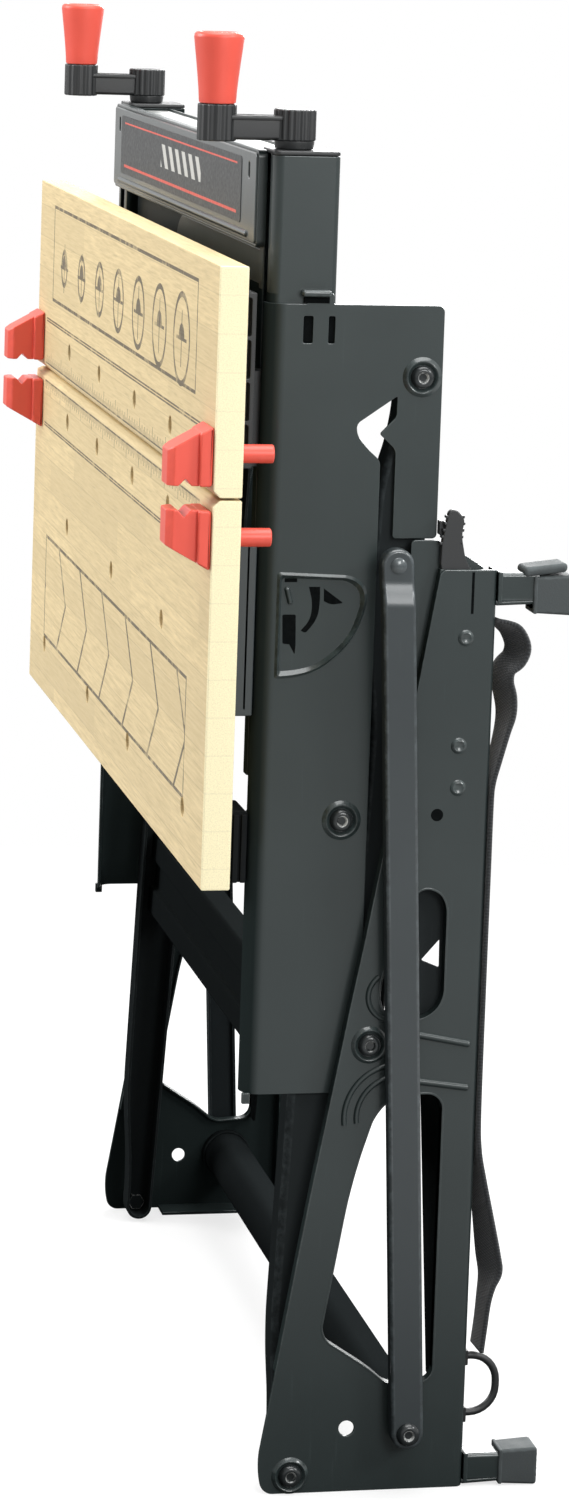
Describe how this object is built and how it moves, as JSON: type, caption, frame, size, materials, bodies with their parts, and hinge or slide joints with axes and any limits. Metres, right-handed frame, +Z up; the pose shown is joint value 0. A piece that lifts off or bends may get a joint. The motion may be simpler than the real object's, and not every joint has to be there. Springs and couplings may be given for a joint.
{
  "type": "folding workbench",
  "caption": "Folding workbench, shown folded: clamping jaws on screw cranks, swivel pegs, pressed steel side plates and a fold-out base on parallel legs with bracing struts.",
  "frame": {"origin": "centre of the folded bench's footprint box, on the surface it stands on", "axes": "+X along the jaws, +Z up with the bench folded and standing, -Y out of the jaws' working face, +Y towards the feet it stands on when open"},
  "size_m": [0.74, 0.2722, 0.9301],
  "materials": {
    "slate_steel": "satin powder coat",
    "strut_steel": "satin powder coat",
    "dark_steel": "satin black",
    "zinc_steel": "zinc plated",
    "jaw_wood": "clear sealed board",
    "red_plastic": "satin moulded",
    "grey_plastic": "moulded",
    "black_plastic": "moulded",
    "foot_rubber": "matte",
    "webbing": "woven"
  },
  "bodies": {
    "top": {"front_apron": "slate_steel", "tie_plate": "dark_steel", "rear_jaw": "jaw_wood", "vice_beam_right": "slate_steel", "vice_beam_left": "slate_steel", "side_plate_right": "slate_steel", "side_plate_left": "slate_steel", "rear_jaw_support_right": "grey_plastic", "rear_jaw_support_left": "grey_plastic", "rear_jaw_bracket_right": "black_plastic", "rear_jaw_bracket_left": "black_plastic", "screw_bearing_right": "black_plastic", "screw_bearing_left": "black_plastic", "upper_rear_bolt_right": "dark_steel", "upper_rear_bolt_left": "dark_steel", "upper_front_bolt_right": "dark_steel", "upper_front_bolt_left": "dark_steel"},
    "front_jaw": {"front_jaw": "jaw_wood", "jaw_carrier_right": "black_plastic", "jaw_carrier_left": "black_plastic"},
    "crank_right": {"vice_screw_right": "zinc_steel", "crank_arm_right": "black_plastic"},
    "crank_left": {"vice_screw_left": "zinc_steel", "crank_arm_left": "black_plastic"},
    "knob_right": {"crank_knob_right": "red_plastic"},
    "knob_left": {"crank_knob_left": "red_plastic"},
    "front_peg_right": {"front_peg_right": "red_plastic"},
    "front_peg_left": {"front_peg_left": "red_plastic"},
    "rear_peg_right": {"rear_peg_right": "red_plastic"},
    "rear_peg_left": {"rear_peg_left": "red_plastic"},
    "rear_legs": {"rear_leg_right": "dark_steel", "rear_leg_left": "dark_steel", "rear_leg_channel": "dark_steel"},
    "front_legs": {"front_leg_right": "dark_steel", "front_leg_left": "dark_steel", "front_leg_rod": "dark_steel"},
    "base": {"base_rear_bar": "dark_steel", "base_front_tube": "dark_steel", "tie_strap": "webbing", "strap_loop": "black_plastic", "base_side_right": "slate_steel", "base_side_left": "slate_steel", "upper_stem_right": "slate_steel", "upper_stem_left": "slate_steel", "upper_foot_right": "foot_rubber", "upper_foot_left": "foot_rubber", "lower_stem_right": "slate_steel", "lower_stem_left": "slate_steel", "lower_foot_right": "foot_rubber", "lower_foot_left": "foot_rubber", "lower_rear_bolt_right": "dark_steel", "lower_rear_bolt_left": "dark_steel", "lower_front_bolt_right": "dark_steel", "lower_front_bolt_left": "dark_steel", "strut_bolt_right": "dark_steel", "strut_bolt_left": "dark_steel"},
    "strut_right": {"strut_right": "strut_steel"},
    "strut_left": {"strut_left": "strut_steel"},
    "latch": {"fold_latch": "black_plastic"}
  },
  "joints": [
    {"name": "fold", "type": "hinge", "parent": "top", "child": "rear_legs", "pos_m": [0, -0.00625, 0.437], "axis": [1, 0, 0], "range_deg": [0, 85]},
    {"name": "front_leg_fold", "type": "hinge", "parent": "top", "child": "front_legs", "pos_m": [0, 0.03575, 0.719], "axis": [1, 0, 0], "range_deg": [0, 85]},
    {"name": "base_fold", "type": "hinge", "parent": "rear_legs", "child": "base", "pos_m": [0, -0.02725, 0.012], "axis": [1, 0, 0], "range_deg": [-85, 0]},
    {"name": "strut_right_swing", "type": "hinge", "parent": "base", "child": "strut_right", "pos_m": [0.3188, 0.04575, 0.042], "axis": [1, 0, 0], "range_deg": [0, 57.8]},
    {"name": "strut_left_swing", "type": "hinge", "parent": "base", "child": "strut_left", "pos_m": [-0.3188, 0.04575, 0.042], "axis": [1, 0, 0], "range_deg": [0, 57.8]},
    {"name": "crank_right_turn", "type": "hinge", "parent": "top", "child": "crank_right", "pos_m": [0.274, -0.04625, 0.87], "axis": [0, 0, 1], "range_deg": [0, 4680]},
    {"name": "crank_left_turn", "type": "hinge", "parent": "top", "child": "crank_left", "pos_m": [-0.274, -0.04625, 0.87], "axis": [0, 0, 1], "range_deg": [0, 4680]},
    {"name": "front_jaw_slide", "type": "slide", "parent": "top", "child": "front_jaw", "axis": [0, 0, 1], "range_m": [0, 0.065]},
    {"name": "knob_right_spin", "type": "hinge", "parent": "crank_right", "child": "knob_right", "pos_m": [0.274, -0.09575, 0.908], "axis": [0, 0, 1], "continuous": true},
    {"name": "knob_left_spin", "type": "hinge", "parent": "crank_left", "child": "knob_left", "pos_m": [-0.274, -0.09575, 0.908], "axis": [0, 0, 1], "continuous": true},
    {"name": "front_peg_right_spin", "type": "hinge", "parent": "front_jaw", "child": "front_peg_right", "pos_m": [0.351, -0.10875, 0.677], "axis": [0, 1, 0], "continuous": true},
    {"name": "front_peg_left_spin", "type": "hinge", "parent": "front_jaw", "child": "front_peg_left", "pos_m": [-0.351, -0.10875, 0.677], "axis": [0, 1, 0], "continuous": true},
    {"name": "rear_peg_right_spin", "type": "hinge", "parent": "top", "child": "rear_peg_right", "pos_m": [0.351, -0.10875, 0.6255], "axis": [0, 1, 0], "continuous": true},
    {"name": "rear_peg_left_spin", "type": "hinge", "parent": "top", "child": "rear_peg_left", "pos_m": [-0.351, -0.10875, 0.6255], "axis": [0, 1, 0], "continuous": true},
    {"name": "latch_swing", "type": "hinge", "parent": "base", "child": "latch", "pos_m": [0.303, 0.06575, 0.59], "axis": [1, 0, 0], "range_deg": [-30, 0]}
  ],
  "couplings": [
    {"joint": "front_leg_fold", "follows": "fold", "ratio": 1},
    {"joint": "base_fold", "follows": "fold", "ratio": -1},
    {"joint": "strut_right_swing", "follows": "fold", "ratio": 0.68},
    {"joint": "strut_left_swing", "follows": "fold", "ratio": 0.68},
    {"joint": "crank_left_turn", "follows": "crank_right_turn", "ratio": 1},
    {"joint": "front_jaw_slide", "follows": "crank_right_turn", "m_per_rad": 0.00079577}
  ]
}
